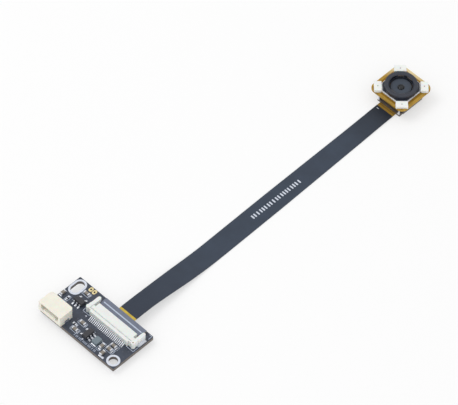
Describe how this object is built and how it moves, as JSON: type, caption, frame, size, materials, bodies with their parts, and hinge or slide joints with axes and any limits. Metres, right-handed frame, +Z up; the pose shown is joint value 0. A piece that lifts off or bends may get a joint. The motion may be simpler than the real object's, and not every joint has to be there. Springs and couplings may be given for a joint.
{
  "type": "autofocus camera module",
  "caption": "Autofocus camera head with corner lamps on a long flat flexible circuit, joined to a small interface board with a wire socket.",
  "frame": {"origin": "axis of the board's round mounting hole, at the board's underside", "axes": "+X along the board's long edge from the wire socket's end to the round hole's end, +Y from the board to the camera head, +Z up, the way the lens looks"},
  "size_m": [0.0261, 0.1215, 0.0054],
  "materials": {
    "board": "navy-black solder mask, satin",
    "tinned": "tinned copper, bright",
    "gold_pad": "gold-plated pad",
    "ivory_plastic": "ivory moulded polymer",
    "chip_black": "black epoxy",
    "chip_brown": "ceramic capacitor brown",
    "ferrite": "grey coated ferrite",
    "crystal_metal": "nickel lid",
    "crystal_ceramic": "ceramic",
    "amber_film": "amber polyimide film",
    "cover_film": "black cover film, satin",
    "tab_grey": "grey stiffener",
    "stiffener_steel": "dark steel",
    "sensor": "sensor surface",
    "filter": "coated infrared filter",
    "lens_glass": "clear moulded lens",
    "can_metal": "nickel-plated can",
    "magnet": "nickel-plated magnet",
    "spring": "copper alloy leaf",
    "copper": "enamelled copper",
    "lens_black": "matt black polymer",
    "plate_gold": "gold-amber plate",
    "lamp_white": "white lamp package"
  },
  "bodies": {
    "module": {"circuit_board": "board", "hole_lands": "tinned", "test_pads": "gold_pad", "zif_housing": "ivory_plastic", "zif_contacts": "tinned", "zif_anchor_tabs": "tinned", "wire_socket": "ivory_plastic", "wire_socket_pins": "tinned", "wire_socket_anchors": "tinned", "regulator_bodies": "chip_black", "regulator_leads": "tinned", "power_inductor": "ferrite", "inductor_terminals": "tinned", "capacitor_bodies": "chip_brown", "capacitor_ends": "tinned", "resistor_bodies": "chip_black", "resistor_ends": "tinned", "camera_controller": "chip_black", "controller_terminals": "tinned", "flash_memory": "chip_black", "crystal_base": "crystal_ceramic", "crystal_lid": "crystal_metal", "flex_base": "amber_film", "flex_cover_top": "cover_film", "flex_cover_bottom": "cover_film", "tab_stiffener": "tab_grey", "head_stiffener": "stiffener_steel", "sensor_board": "board", "image_sensor": "sensor", "filter_glass": "filter", "vcm_base": "lens_black", "vcm_can": "can_metal", "vcm_magnets": "magnet", "upper_frame": "lens_black", "upper_spring": "spring", "lower_spring": "spring", "front_ring": "lens_black", "led_collar": "lens_black", "led_plate": "plate_gold", "led_bodies": "lamp_white", "led_pads": "gold_pad", "led_feed_legs": "tinned"},
    "connector_lid": {"zif_actuator": "ivory_plastic"},
    "focus_group": {"lens_carrier": "lens_black", "focus_coil": "copper", "lens_barrel": "lens_black", "lens_elements": "lens_glass", "lens_spacers": "lens_black", "lens_retainer": "lens_black"}
  },
  "joints": [
    {"name": "connector_lid_hinge", "type": "hinge", "parent": "module", "child": "connector_lid", "pos_m": [-0.00735, 0.0069, 0.00235], "axis": [1, 0, 0], "range_deg": [0, 90]},
    {"name": "focus_slide", "type": "slide", "parent": "module", "child": "focus_group", "axis": [0, 0, 1], "range_m": [0, 0.0003], "stiffness_N_per_m": 40, "deforming": ["upper_spring", "lower_spring"]}
  ]
}
